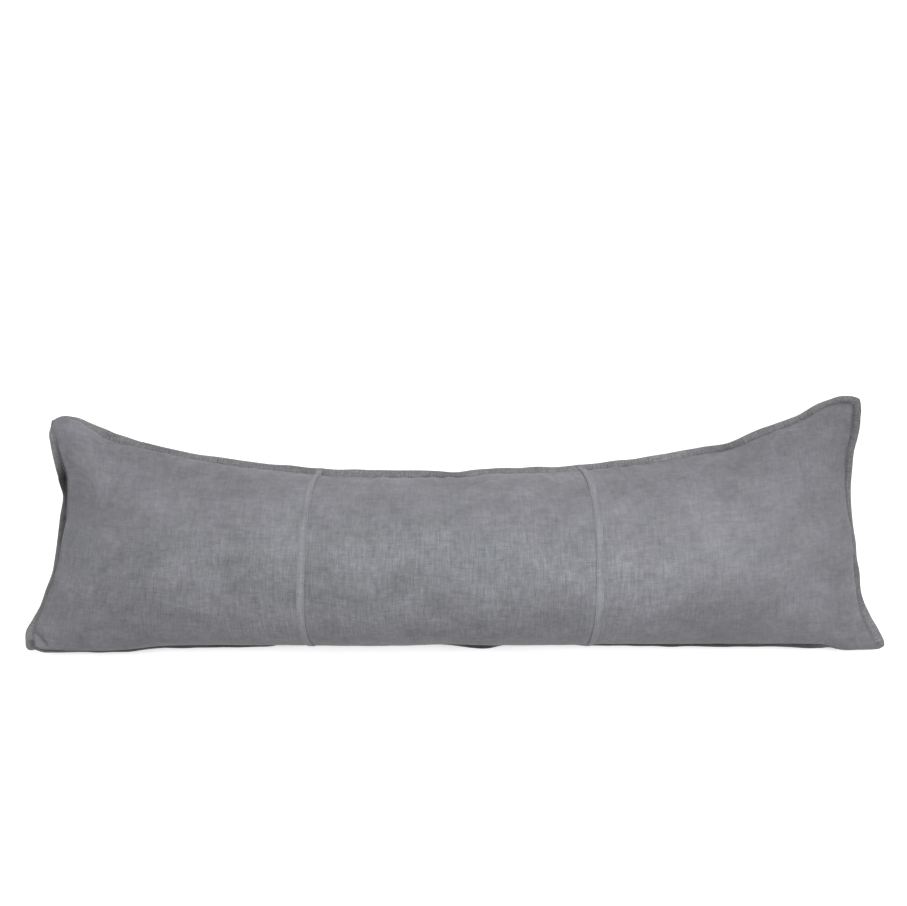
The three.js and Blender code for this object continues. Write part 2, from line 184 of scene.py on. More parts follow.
# The flange, a narrow border of doubled cloth outside the stitch line. Its root is tucked into the seam.
FLANGE_WIDTH = 12
FLANGE_TUCK = 1.0
CORNER_SQUARENESS = 0.5
FLANGE_WAVES = side_tables(
    "share reach lift",
    top=[(0.495, 26, -3), (0.849, 22, -3)],
    left=[(0.75, 24, 2)],
    right=[(0.3, 20, 1)],
    bottom=[(0.36, 60, -2), (0.6, 30, -2)],
)
FLANGE_CURL = 1.3  # the waves lift the flange by this power of the share of its width
SIDE_LENGTH = {"top": 1100, "bottom": 1180, "left": 310, "right": 330}  # about that, of the stitch line

# Section of the flange. out: share of its width, half: half its thickness. The dip near the root is the
# stitch line, and the step further out is the seam allowance folded inside.
FLANGE_SECTION = table(
    "out half",
    (0.0, 0.8), (0.07, 0.5), (0.13, 0.5), (0.2, 0.9), (0.3, 1.05), (0.42, 1.05), (0.47, 0.85),
    (0.52, 1.1), (0.7, 1.15), (0.9, 1.1), (0.97, 0.85), (0.995, 0.45),
)
STITCH_OUT = 0.1
STITCH_HALF = 0.5

# How finely the pieces are divided
COVER_COLUMNS = 680
COVER_ROWS = 70
COLUMN_EASE = 0.25
ROW_EASE = 0.5
FLANGE_STEP = 1.25
CORNER_FAN = 16
STRIP_STEPS = 420
DENSE = 4000  # steps by which the length of a side is measured
HEADING_STEPS = 6  # steps over which the run of the flange is evened out
STRIP_EVEN_STEPS = 5  # and that of the strips

# Random waves: how many are added up, and how their lengths differ, as shares of the size that is asked for
NOISE_WAVES = 28
NOISE_SPREAD = (0.6, 1.4)
RIPPLE_WAVES = 16
RIPPLE_SPREAD = (0.55, 1.5)

# Nips along sewing: spacing and half width as shares of their pitch, and how shallow and deep they are
NIP_SPACING = (0.7, 1.3)
NIP_HALF_WIDTH = 0.26
NIP_DEPTHS = (0.35, 1.0)
SPARE_SHARE = 1.5  # more nips are drawn than fit, so that the line is always full
SPARE_NIPS = 4

# Where the random numbers of each form start
COVER_SEEDS = {"face": 100, "back": 200, "puckers": 40}
FLANGE_SEEDS = {"nips": 60, "lift": 61, "width": 62}
STRIP_SEEDS = {"left": 71, "right": 72}
TINY = 1e-9  # stands in for a length of nothing where one is divided by


# Curves and grids


def slopes(at, value):
    """Slopes of a curve through a table's column, level at peaks so that it never overshoots."""
    step = np.diff(value) / np.diff(at)
    before, after = step[:-1], step[1:]
    product = before * after
    total = np.where(product > 0, before + after, 1)
    inner = np.where(product > 0, 2 * product / total, 0)
    return np.concatenate([step[:1], inner, step[-1:]])


def along(rows, column, share):
    """A smooth curve through one column of a table."""
    at, value = rows["share"], rows[column]
    slope = slopes(at, value)
    row = np.clip(np.searchsorted(at, share) - 1, 0, len(at) - 2)
    width = at[row + 1] - at[row]
    t = (share - at[row]) / width
    rise = t * t * (3 - 2 * t)
    leave = t * (1 - t) ** 2 * width * slope[row]
    arrive = t * t * (1 - t) * width * slope[row + 1]
    return value[row] * (1 - rise) + value[row + 1] * rise + leave - arrive


def bump(offset, reach):
    """1 at no offset, falling away smoothly over the reach."""
    return np.exp(-((offset / reach) ** 2))


def mix(start, end, share):
    """The value a share of the way from start to end."""
    return start + (end - start) * share


def height_share(angle):
    """How far up the section a place lies, from 0 at the lower edge to 1 at the upper one."""
    return (1 + np.sin(np.radians(angle))) / 2


def above_floor(height):
    """Lifts heights that would sink into the surface below, so that the back lies flat on it."""
    soft = (np.clip(height, -FLOOR_BLEND, FLOOR_BLEND) + FLOOR_BLEND) ** 2 / (4 * FLOOR_BLEND)
    return np.where(height >= FLOOR_BLEND, height, soft)


def drawn_in(share, up):
    """How far the face is drawn in by the felled seams and by the gathers at the upper edge."""
    depth = 0
    for seam in SEAM_SHARES:
        depth = depth + CHANNEL_DEPTH * bump((share - seam) * LENGTH, CHANNEL_REACH)
    for place, reach, deep in rows_of(GATHERS):
        depth = depth + deep * up**GATHER_SHARPNESS * bump((share - place) * LENGTH, reach)
    return depth


def body_points(share, angle):
    """Points of the filled body. The angle turns round the section from 0 at the crown to 90 at the upper
    seam, and on round the back."""
    up = height_share(angle)
    near_left = (1 - share) ** END_FADE
    near_right = share**END_FADE
    sharpness = mix(LEFT_GATHER_SHARPNESS, RIGHT_GATHER_SHARPNESS, share)
    gather = TOP_GATHER * up**sharpness + BOTTOM_GATHER * (1 - up) ** BOTTOM_GATHER_SHARPNESS
    x = (
        mix(LEFT_REST, RIGHT_REST, share)
        + (along(SHORT_EDGES, "left", up) - LEFT_REST) * near_left
        + (along(SHORT_EDGES, "right", up) - RIGHT_REST) * near_right
        + gather * np.sin(2 * np.pi * share)
    )
    y = mix(along(SECTIONS, "bottom", share), along(SECTIONS, "top", share), up)
    sag = along(SHORT_EDGES, "sag", up) * (near_left + near_right)
    rest = mix(along(SECTIONS, "bottom_z", share), along(SECTIONS, "top_z", share), up) - sag
    near_ends = np.abs(2 * share - 1) ** ROUNDNESS_FADE
    roundness = mix(MIDDLE_ROUNDNESS, END_ROUNDNESS, near_ends)
    lean = np.cos(np.radians(angle))
    fullness = np.abs(lean) ** roundness
    face = rest + (along(SECTIONS, "crown", share) - drawn_in(share, up)) * fullness
    back = above_floor(rest - along(SECTIONS, "back", share) * fullness)
    z = np.where(lean >= 0, face, back)
    return np.stack([x + ORIGIN_SHIFT[0], y + ORIGIN_SHIFT[1], z], axis=-1)


def lower_seam_angle(share):
    """Where the lower seam lies round the section."""
    return -90 - along(LONG_EDGES, "roll", share)


def eased(count, ease):
    """Even steps from 0 to 1, drawn closer together at both ends."""
    t = np.linspace(0, 1, count + 1)
    return t - ease * np.sin(2 * np.pi * t) / (2 * np.pi)


def soft_noise(u, v, size, seed):
    """Smooth random waves of about one size, in millimetres of cloth."""
    rng = np.random.default_rng(seed)
    total = np.zeros(np.broadcast(u, v).shape)
    for _ in range(NOISE_WAVES):
        heading = rng.uniform(0, 2 * np.pi)
        turns = 2 * np.pi * rng.uniform(*NOISE_SPREAD) / size
        total += np.sin((u * np.cos(heading) + v * np.sin(heading)) * turns + rng.uniform(0, 2 * np.pi))
    return total * math.sqrt(2 / NOISE_WAVES)


def ripple(run, size, seed):
    """Smooth random waves along a line."""
    rng = np.random.default_rng(seed)
    total = np.zeros_like(run)
    for _ in range(RIPPLE_WAVES):
        turns = 2 * np.pi * rng.uniform(*RIPPLE_SPREAD) / size
        total += np.sin(run * turns + rng.uniform(0, 2 * np.pi))
    return total * math.sqrt(2 / RIPPLE_WAVES)


def ticks(run, pitch, seed):
    """Small irregular nips along a line of sewing, from 0 between them to 1 at the deepest."""
    rng = np.random.default_rng(seed)
    start = run.min()
    count = int((run.max() - start) / pitch * SPARE_SHARE) + SPARE_NIPS
    places = start + np.cumsum(pitch * rng.uniform(*NIP_SPACING, count)) - pitch
    depth = rng.uniform(*NIP_DEPTHS, count)
    after = np.clip(np.searchsorted(places, run), 1, count - 1)
    total = np.zeros_like(run)
    for near in (after - 1, after):
        total = np.maximum(total, depth[near] * bump(run - places[near], NIP_HALF_WIDTH * pitch))
    return total


def run_along(line):
    """Length along a line of points, or along each column of a grid of them, up to each point."""
    steps = np.linalg.norm(np.diff(line, axis=0), axis=-1)
    return np.concatenate([np.zeros_like(steps[:1]), np.cumsum(steps, axis=0)])


def at_places(at, run, values):
    """Numbers, points or directions at some places along a line, between those given for each run."""
    if values.ndim == 1:
        return np.interp(at, run, values)
    return np.stack([np.interp(at, run, column) for column in values.T], axis=-1)


def smoothed(values, steps):
    """A moving average along the first axis, with its ends held."""
    weights = np.hanning(2 * steps + 3)[1:-1]
    weights = weights / weights.sum()
    held = np.concatenate([np.repeat(values[:1], steps, 0), values, np.repeat(values[-1:], steps, 0)])
    total = np.zeros(values.shape)
    for shift, weight in enumerate(weights):
        total += weight * held[shift : shift + len(values)]
    return total


def corners(grid, flip=False):
    """The four corners of each patch of a grid."""
    turn = [grid[:-1, :-1], grid[1:, :-1], grid[1:, 1:], grid[:-1, 1:]]
    if flip:
        turn = turn[::-1]
    patch = np.stack(turn, axis=2)
    return patch.reshape(-1, *patch.shape[2:])


def numbers_of(grid):
    """The number of each point of a grid."""
    return np.arange(grid.size // 3).reshape(grid.shape[:-1])


def unit(vectors):
    """The same directions with a length of 1."""
    return vectors / np.maximum(np.linalg.norm(vectors, axis=-1, keepdims=True), TINY)


def normals_of(grid):
    """Directions square to a grid of points."""
    return unit(np.cross(np.gradient(grid, axis=0), np.gradient(grid, axis=1)))


def placed(name, data):
    """A new object in the scene."""
    thing = bpy.data.objects.new(name, data)
    scene.collection.objects.link(thing)
    return thing


def new_piece(name, points, quads, cloth, shade, material):
    """A smooth mesh with its place on the cloth, in metres, and the painted shade and light of its colour.
    """
    mesh = bpy.data.meshes.new(name)
    mesh.from_pydata((points * MM).tolist(), [], quads.tolist())
    mesh.polygons.foreach_set("use_smooth", np.ones(len(quads), bool))
    layer = mesh.uv_layers.new(name="cloth")
    layer.uv.foreach_set("vector", (cloth * MM).astype(np.float32).ravel())
    attribute = mesh.attributes.new("shade", "FLOAT", "POINT")
    attribute.data.foreach_set("value", np.asarray(shade, np.float32).ravel())
    mesh.materials.append(material)
    mesh.update()
    piece = placed(name, mesh)
    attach(piece, "root")
    return piece


# Linen

VECTOR = "ShaderNodeVectorMath"


def feed(tree, node, inputs):
    """Links or sets the inputs of a node."""
    for socket, value in inputs.items():
        if isinstance(value, bpy.types.NodeSocket):
            tree.links.new(value, node.inputs[socket])
        else:
            node.inputs[socket].default_value = value


def make(tree, kind, inputs, **settings):
    """A node with its settings and its inputs."""
    node = tree.nodes.new(kind)
    for name, value in settings.items():
        setattr(node, name, value)
    feed(tree, node, inputs)
    return node


def new_material(name):
    """An empty material, with the nodes it is made of and its shader."""
    material = bpy.data.materials.new(name)
    material.use_nodes = True
    return material, material.node_tree, material.node_tree.nodes["Principled BSDF"]


def combine(tree, operation, *values, kind="ShaderNodeMath"):
    """The result of one step of arithmetic."""
    return make(tree, kind, dict(enumerate(values)), operation=operation).outputs[0]


def cloth_noise(tree, cloth, width, height, detail, seed):
    """Noise whose grains measure width by height in millimetres of cloth."""
    scale = (1 / (width * MM), 1 / (height * MM), 0)
    shift = tuple(seed * step for step in GRAIN_SHIFT)
    place = combine(tree, "MULTIPLY_ADD", cloth, scale, shift, kind=VECTOR)
    inputs = {"Vector": place, "Scale": 1.0, "Detail": detail, "Roughness": GRAIN_ROUGHNESS}
    return make(tree, "ShaderNodeTexNoise", inputs, noise_dimensions="2D").outputs["Fac"]


def spread(tree, value, low, high, start, end):
    """Brings the part of a value between low and high to a range from start to end."""
    ranges = {"Value": value, "From Min": low, "From Max": high, "To Min": start, "To Max": end}
    return make(tree, "ShaderNodeMapRange", ranges).outputs[0]


def thread_wave(tree, length):
    """A wave with one crest for each thread along a length of cloth."""
    turned = combine(tree, "MULTIPLY", length, 2 * math.pi / (WEAVE_PITCH * MM))
    return combine(tree, "SINE", turned)


# What varies the brightness of the linen. width and height: size of a grain in millimetres, low and high:
# the part of the noise that is used, dark and light: what it multiplies the colour by. The clouds and
# blotches are left by washing, the threads are warp streaks, weft streaks, grain and dark slubs.
GRAIN_COLUMNS = "width height detail low high dark light"
CLOUDS = table(
    GRAIN_COLUMNS,
    (110, 70, 1, 0.3, 0.7, 0.92, 1.08),
    (30, 21, 3, 0.3, 0.7, 0.925, 1.075),
    (9, 7.5, 2, 0.3, 0.7, 0.935, 1.065),
    (24, 4.5, 2, 0.3, 0.7, 0.955, 1.04),
)
THREADS = table(
    GRAIN_COLUMNS,
    (3.4, 38, 2, 0.3, 0.7, 0.93, 1.08),
    (1.5, 18, 2, 0.3, 0.7, 0.9, 1.115),
    (12, 1.5, 2, 0.3, 0.7, 0.93, 1.065),
    (1.5, 1.5, 1, 0.25, 0.75, 0.91, 1.09),
    (30, 2.6, 2, 0.58, 0.74, 1.0, 0.88),
)

# In the middle of the face the threads stand out more, and the panels are painted paler and cooler there,
# as painted light where the light falls most. middle and half: along and up the cloth in millimetres,
# fade: where the middle part starts to end and has ended, as shares of the half sizes.
MIDDLE_THREADS = {"middle": (480, 5), "half": (600, 130), "fade": (0.5, 0.97)}
PAINTED_LIGHT_MIDDLE = {"middle": (760, 45), "half": (420, 65), "fade": (0.2, 1.1)}
PAINTED_LIGHT_TINT = {"middle": (480, 52), "half": (540, 85), "fade": (0.4, 1.15)}
THREAD_STRENGTH = (1.04, 0.48)  # in the middle of the face and outside it
# how much paler the middle of the face is painted, as painted light, and the rest
PAINTED_LIGHT_STRENGTH = (1.07, 0.99)

# Grains of the linen: sizes along and up the cloth in millimetres, and the part of the noise that is used
GRAIN_DETAIL = 2
GRAIN_ROUGHNESS = 0.55
GRAIN_SHIFT = (17.3, 9.1, 0)  # moves the noise for each seed, so that no two are alike
GRAIN_SEEDS = {"clouds": 1, "threads": 5, "tint": 11, "weft": 21, "warp": 22, "fleck": 31}
FLECK_SIZE = (2.6, 2.6)
FLECK_RANGE = (0.3, 0.7)
TINT_SIZE = (46, 34)
TINT_RANGE = (0.35, 0.65)
TINT_VARIATION = 0.45

# The relief of the weave
WEFT_SIZE = (16, 1.4)
WARP_SIZE = (1.4, 22)
WEAVE_PITCH = 1.0
WEAVE_SHARE = 0.08
RELIEF_STRENGTH = 0.35
RELIEF_DISTANCE = 0.6

# Tints of the grey, and how the cloth takes the light
COOL_TINT = (0.966, 1.0, 1.066)
WARM_TINT = (1.016, 0.998, 1.092)
FLANGE_TINT = (1.006, 1.0, 1.045)
STRIP_TINT = (0.982, 1.0, 1.07)
LINEN_SURFACE = {
    "Roughness": 0.92,
    "Specular IOR Level": 0.2,
    "Sheen Weight": 0.12,
    "Sheen Roughness": 0.5,
}


def variation(tree, cloth, rows, first_seed, mottled):
    """What the rows of a table multiply the brightness by, all together."""
    total = None
    for number, (width, height, detail, low, high, dark, light) in enumerate(rows_of(rows)):
        grain = cloth_noise(tree, cloth, width, height, detail, first_seed + number)
        factor = spread(tree, grain, low, high, mix(1, dark, mottled), mix(1, light, mottled))
        total = factor if total is None else combine(tree, "MULTIPLY", total, factor)
    return total


def face_middle(tree, cloth, part, inside, outside):
    """A value that changes from the middle of the face to the rest of it."""
    middle = tuple(size * MM for size in (*part["middle"], 0))
    half = tuple(size * MM for size in (*part["half"], 1))
    offset = combine(tree, "SUBTRACT", cloth, middle, kind=VECTOR)
    offset = combine(tree, "DIVIDE", offset, half, kind=VECTOR)
    away = make(tree, VECTOR, {0: offset}, operation="LENGTH").outputs["Value"]
    return spread(tree, away, *part["fade"], inside, outside)


def tint_with_painted_light(tree, cloth):
    """A tint painted cool in the middle of the face, as painted light, warm elsewhere, and mottled."""
    mottle = cloth_noise(tree, cloth, *TINT_SIZE, GRAIN_DETAIL, GRAIN_SEEDS["tint"])
    mottle = spread(tree, mottle, *TINT_RANGE, -TINT_VARIATION, TINT_VARIATION)
    warmth = combine(tree, "ADD", face_middle(tree, cloth, PAINTED_LIGHT_TINT, 0, 1), mottle)
    tints = {"Factor": warmth, "A": (*COOL_TINT, 1), "B": (*WARM_TINT, 1)}
    return make(tree, "ShaderNodeMix", tints, data_type="RGBA").outputs["Result"]


def linen_brightness(tree, cloth, fleck, mottled, is_panel):
    """What the clouds, the threads and the flecks multiply the brightness of the linen by."""
    clouds = variation(tree, cloth, CLOUDS, GRAIN_SEEDS["clouds"], mottled)
    threads = variation(tree, cloth, THREADS, GRAIN_SEEDS["threads"], mottled)
    # the middle of the panels is painted paler, as painted light, and their threads stand out more there
    if is_panel:
        strength = face_middle(tree, cloth, MIDDLE_THREADS, *THREAD_STRENGTH)
        off_even = combine(tree, "MULTIPLY", combine(tree, "SUBTRACT", threads, 1), strength)
        threads = combine(tree, "ADD", off_even, 1)
        clouds = combine(tree, "MULTIPLY", clouds, face_middle(tree, cloth, PAINTED_LIGHT_MIDDLE, *PAINTED_LIGHT_STRENGTH))
    speck = cloth_noise(tree, cloth, *FLECK_SIZE, GRAIN_DETAIL, GRAIN_SEEDS["fleck"])
    speck = spread(tree, speck, *FLECK_RANGE, 1 - fleck, 1 + fleck)
    return combine(tree, "MULTIPLY", combine(tree, "MULTIPLY", clouds, threads), speck)


def weave_relief(tree, cloth):
    """Directions of a surface with the fine relief of warp and weft."""
    split = make(tree, "ShaderNodeSeparateXYZ", {0: cloth})
    waves = [thread_wave(tree, split.outputs[axis]) for axis in (0, 1)]
    weave = combine(tree, "MULTIPLY", combine(tree, "MULTIPLY", *waves), WEAVE_SHARE)
    weft = cloth_noise(tree, cloth, *WEFT_SIZE, GRAIN_DETAIL, GRAIN_SEEDS["weft"])
    warp = cloth_noise(tree, cloth, *WARP_SIZE, GRAIN_DETAIL, GRAIN_SEEDS["warp"])
    height = combine(tree, "ADD", weave, combine(tree, "ADD", weft, warp))
    bumps = {"Strength": RELIEF_STRENGTH, "Distance": RELIEF_DISTANCE * MM, "Height": height}
    return make(tree, "ShaderNodeBump", bumps).outputs[0]


def linen(name, brightness, fleck, mottled=1.0, tint=None):
    """Washed linen: clouded by the wash, with warp and weft streaks, dark slubs and a fine weave. fleck: how
    strongly it is flecked, mottled: how strongly its clouds and threads show, tint: its tint, or none for
    the panels, which are painted paler and cooler in the middle, as painted light, and whose threads stand
    out more there."""
    material, tree, shader = new_material(name)
    cloth = make(tree, "ShaderNodeUVMap", {}, uv_map="cloth").outputs[0]
    # the shade attribute carries the painted shade and light of each piece, which multiplies its colour
    shade = make(tree, "ShaderNodeAttribute", {}, attribute_name="shade").outputs["Fac"]
    value = combine(tree, "MULTIPLY", shade, brightness)
    varied = linen_brightness(tree, cloth, fleck, mottled, is_panel=tint is None)
    value = combine(tree, "MULTIPLY", value, varied)
    tint = tint or tint_with_painted_light(tree, cloth)
    colour = make(tree, VECTOR, {0: tint, "Scale": value}, operation="SCALE")
    relief = weave_relief(tree, cloth)
    feed(tree, shader, {"Base Color": colour.outputs[0], "Normal": relief, **LINEN_SURFACE})
    return material


# The same linen in four brightnesses: the flange is painted darker than the panels, partly as painted shade
# for how it faces away from the light, and the strips lighter, partly as painted light on their raised cloth
# and partly for wear.
LINENS = {
    "panel": {"brightness": 0.168, "fleck": 0.03},
    "flange": {"brightness": 0.155, "fleck": 0.2, "tint": FLANGE_TINT},
    "strip": {"brightness": 0.204, "fleck": 0.06, "mottled": 0.6, "tint": STRIP_TINT},
    "thread": {"brightness": 0.16, "fleck": 0.05, "tint": FLANGE_TINT},
}
linens = {name: linen(name + "_linen", **looks) for name, looks in LINENS.items()}


# The cover: face and back are two grids of the same shares and rows, which meet along the stitch line


def cover_grids(columns, rows):
    """Grids of points for the face and the back of the cover, and the angles of their rows."""
    share = np.repeat(eased(columns, COLUMN_EASE)[:, None], rows + 1, axis=1)
    seam = lower_seam_angle(share)
    step = eased(rows, ROW_EASE)[None, :]
    face_angle = mix(seam, 90, step)
    back_angle = mix(360 + seam, 90, step)
    return body_points(share, face_angle), body_points(share, back_angle), face_angle, back_angle


def closed_cover(face_grid, back_grid):
    """Points and patches of both grids, sewn together along their rims."""
    columns, rows = face_grid.shape[:2]
    face_ids = numbers_of(face_grid)
    back_ids = face_ids.copy()
    inner = (columns - 2) * (rows - 2)
    back_ids[1:-1, 1:-1] = columns * rows + np.arange(inner).reshape(columns - 2, rows - 2)
    points = np.concatenate([face_grid.reshape(-1, 3), back_grid[1:-1, 1:-1].reshape(-1, 3)])
    quads = np.concatenate([corners(face_ids), corners(back_ids, flip=True)])
    return points, quads, face_ids, back_ids


# The filling presses the cloth outwards while the stitch line holds it. A coarse cover is simulated, and
# the wrinkles that arise are carried over to the fine one without the broad swelling, which the tables set.
SIM_COLUMNS = 170
SIM_ROWS = 34
SIM_FRAMES = 20
SIM_PRESSURE = 4.0
SIM_SPARE_CLOTH = 0.03
SIM_START_INSIDE = 2.0
SIM_BROAD_STEPS = 7
SIM_LIMIT = 2.5
SIM_SHARE = 0.4


def blown_up(points, quads, held_ids):
    """Where the points of a cover come to lie when it is blown up with its stitch line held."""
    mesh = bpy.data.meshes.new("cloth_run")
    mesh.from_pydata((points * MM).tolist(), [], quads.tolist())
    piece = placed("cloth_run", mesh)
    piece.vertex_groups.new(name="held").add(held_ids.tolist(), 1.0, "REPLACE")
    cloth = piece.modifiers.new("cloth", "CLOTH")
    cloth.settings.vertex_group_mass = "held"
    cloth.settings.use_pressure = True
    cloth.settings.uniform_pressure_force = SIM_PRESSURE
    cloth.settings.shrink_min = -SIM_SPARE_CLOTH
    cloth.settings.effector_weights.gravity = 0
    cloth.point_cache.frame_start = 1
    cloth.point_cache.frame_end = SIM_FRAMES
    for number in range(1, SIM_FRAMES + 1):
        scene.frame_set(number)
    result = piece.evaluated_get(bpy.context.evaluated_depsgraph_get()).data
    places = np.empty(3 * len(points), np.float32)
    result.vertices.foreach_get("co", places)
    bpy.data.objects.remove(piece)
    bpy.data.meshes.remove(mesh)
    scene.frame_set(1)
    return places.reshape(-1, 3).astype(float) / MM


def resampled(grid, count):
    """A grid carried over to another number of steps along its first axis, by smooth curves."""
    place = np.linspace(0, len(grid) - 1, count + 1)
    base = np.minimum(place.astype(int), len(grid) - 2)
    t = (place - base)[:, None]
    weights = (
        (-t + 2 * t**2 - t**3) / 2,
        (2 - 5 * t**2 + 3 * t**3) / 2,
        (t + 4 * t**2 - 3 * t**3) / 2,
        (t**3 - t**2) / 2,
    )
    total = 0
    for shift, weight in enumerate(weights):
        total = total + weight * grid[np.clip(base + shift - 1, 0, len(grid) - 1)]
    return total


def wrinkles():
    """How far the simulated cloth stands out from the plain body, on the fine face and back."""
    face_grid, back_grid, _, _ = cover_grids(SIM_COLUMNS, SIM_ROWS)
    outward = (normals_of(face_grid), -normals_of(back_grid))
    rim = np.ones(face_grid.shape[:2])
    rim[1:-1, 1:-1] = 0
    inside = SIM_START_INSIDE * (1 - rim)[..., None]
    starts = (face_grid - outward[0] * inside, back_grid - outward[1] * inside)
    points, quads, face_ids, back_ids = closed_cover(*starts)
    places = blown_up(points, quads, face_ids[rim > 0])
    fine = []
    for ids, start, square in zip((face_ids, back_ids), starts, outward):
        lift = ((places[ids] - start) * square).sum(axis=-1) * (1 - rim)
        broad = smoothed(smoothed(lift, SIM_BROAD_STEPS).T, SIM_BROAD_STEPS).T
        small = np.clip(SIM_SHARE * (lift - broad), -SIM_LIMIT, SIM_LIMIT)
        fine.append(resampled(resampled(small, COVER_COLUMNS).T, COVER_ROWS).T)
    return fine


face, back, face_angle, back_angle = cover_grids(COVER_COLUMNS, COVER_ROWS)
shares = eased(COVER_COLUMNS, COLUMN_EASE)
share_grid = np.repeat(shares[:, None], COVER_ROWS + 1, axis=1)
cloth_u = share_grid * LENGTH
FACE_ANCHOR = -24.0  # the weft runs straight along the cushion at this angle round the section
BACK_ANCHOR = 190.0


def edge_distances(grid):
    """Distance of each place of a grid from the four sides of the stitch line, along the cloth."""
    across = run_along(grid)
    upward = run_along(grid.transpose(1, 0, 2)).T
    return {"left": across, "right": across[-1:] - across, "bottom": upward, "top": upward[:, -1:] - upward}


def weft_places(upward, angle, anchor):
    """Place of each point up the cloth, counted from the thread that runs through the anchor."""
    order = 1 if angle[0, -1] > angle[0, 0] else -1
    start = [np.interp(anchor, line[::order], run[::order]) for line, run in zip(angle, upward)]
    return upward - np.array(start)[:, None]


face_away = edge_distances(face)
back_away = edge_distances(back)
face_v = weft_places(face_away["bottom"], face_angle, FACE_ANCHOR)
back_v = weft_places(back_away["bottom"], back_angle, BACK_ANCHOR)

# Small forms of the cloth: lumps of the filling, ripples that fade away from each side of the stitch line
LUMPS = table("size height seed", (170, 0.9, 1), (75, 0.3, 2), (32, 0.1, 3))
RIPPLES = {
    "top": {"size": 30, "height": 0.9, "reach": 30, "seed": 5},
    "bottom": {"size": 60, "height": 0.4, "reach": 26, "seed": 6},
    "left": {"size": 26, "height": 0.9, "reach": 30, "seed": 7},
    "right": {"size": 26, "height": 0.9, "reach": 30, "seed": 8},
}
HELD_EDGE = 7  # how close to the stitch line the cloth is held
TIGHT_SHARE = 0.9  # how much calmer the cloth is where the lower edge pulls it tight
TIGHT_REACH = 30  # degrees round the section
PUCKER_PITCH = 13
PUCKER_REACH = 13
PUCKER_DEPTH = 0.5


def relief_of(away, v, seed):
    """How far the cloth stands out from the plain body, in millimetres."""
    relief = np.zeros_like(v)
    for size, high, number in rows_of(LUMPS):
        relief += high * soft_noise(cloth_u, v, size, seed + int(number))
    for side, form in RIPPLES.items():
        along_side = cloth_u if side in ("top", "bottom") else v
        waves = form["height"] * ripple(along_side, form["size"], seed + form["seed"])
        relief += waves * np.exp(-away[side] / form["reach"])
    nearest = np.minimum.reduce(list(away.values()))
    return relief * (1 - bump(nearest, HELD_EDGE))


def seam_puckers():
    """Puckers in the face panels on both sides of the felled seams."""
    relief = np.zeros_like(face_v)
    for number, seam in enumerate(SEAM_SHARES):
        beside = np.abs(cloth_u - seam * LENGTH)
        puckers = ticks(face_v, PUCKER_PITCH, COVER_SEEDS["puckers"] + number)
        relief -= PUCKER_DEPTH * puckers * bump(beside, PUCKER_REACH)
    return relief


# A single crease at the lower left corner, as a line on the plan. wide: half its width, deep: how far it is
# drawn in, dark: how much darker it is painted, as painted shade in the crease.
CREASE = {"start": (-587, -151), "end": (-571, -168), "wide": 2.2, "deep": 1.5, "dark": 0.45}


def creased(grid):
    """How strongly each place of a grid is creased, from 0 to 1."""
    start = np.array(CREASE["start"])
    line = np.array(CREASE["end"]) - start
    offset = grid[..., :2] - start
    t = np.clip((offset @ line) / (line @ line), 0, 1)
    return bump(np.linalg.norm(offset - t[..., None] * line, axis=-1), CREASE["wide"])


face_relief = relief_of(face_away, face_v, COVER_SEEDS["face"]) + seam_puckers()
back_relief = relief_of(back_away, back_v, COVER_SEEDS["back"])
face_wrinkles, back_wrinkles = wrinkles()
face_relief = face_relief + face_wrinkles
back_relief = back_relief + back_wrinkles
calm = 1 - TIGHT_SHARE * bump(face_angle + 90, TIGHT_REACH)
crease = creased(face)
face = face + normals_of(face) * (face_relief * calm - CREASE["deep"] * crease)[..., None]
back = back - normals_of(back) * back_relief[..., None]
back[..., 2] = above_floor(back[..., 2])

# Painted shade and light of the cloth along the stitch line: a narrow valley of painted shade, which is a
# painted highlight along the top, and pockets of painted shade or, with a dark below 0, of painted light.
# share: place along the side, reach: how far along it, face and border: how far from the stitch line on the
# face and on the flange, dark: how much darker it is painted.
VALLEY_PAINTED_SHADE = {"top": -0.2, "bottom": 0.08, "left": 0.08, "right": 0.08}
VALLEY_WIDE = 2.4
PAINTED_POCKETS = side_tables(
    "share reach face border dark",
    left=[
        (0.93, 40, 24, 2, 0.15), (0.88, 12, 1.6, 3, 0.5), (0.81, 14, 2, 5, 0.6),
        (0.75, 14, 3.5, 10, 0.93), (0.69, 11, 3, 10, 0.88), (0.63, 14, 3, 7, 0.6),
        (0.565, 5, 4, 6, 0.6), (0.54, 18, 2, 6, 0.4), (0.475, 5, 3, 5, 0.4), (0.45, 18, 2, 4, 0.2),
        (0.16, 50, 40, 3, -0.12), (0.07, 8, 2, 3, 0.3), (0.012, 6, 3, 6, 0.6),
    ],
    top=[
        (0.05, 45, 2.5, 4, -0.12), (0.28, 150, 9, 3, -0.06), (0.495, 26, 2.5, 4, 0.25),
        (0.62, 130, 12, 3, -0.1), (0.83, 140, 45, 3, 0.1), (0.849, 24, 2.5, 4, 0.3),
        (0.95, 60, 3, 3, 0.2), (0.98, 110, 75, 3, 0.13), (0.99, 12, 4, 4, 0.3),
    ],
    right=[
        (0.97, 16, 4, 4, 0.3), (0.86, 50, 2.5, 3, 0.35), (0.8, 90, 32, 3, 0.12),
        (0.66, 40, 2, 2.5, 0.25), (0.25, 60, 45, 3, -0.08), (0.09, 20, 3, 3, 0.2),
    ],
    bottom=[
        (0.015, 45, 40, 8, -0.16), (0.03, 20, 3, 3, 0.4),
        *((share, 120, 60, 3, 0.11) for share in (0.17, 0.35, 0.53, 0.71)), (0.86, 80, 60, 3, 0.09),
    ],
)


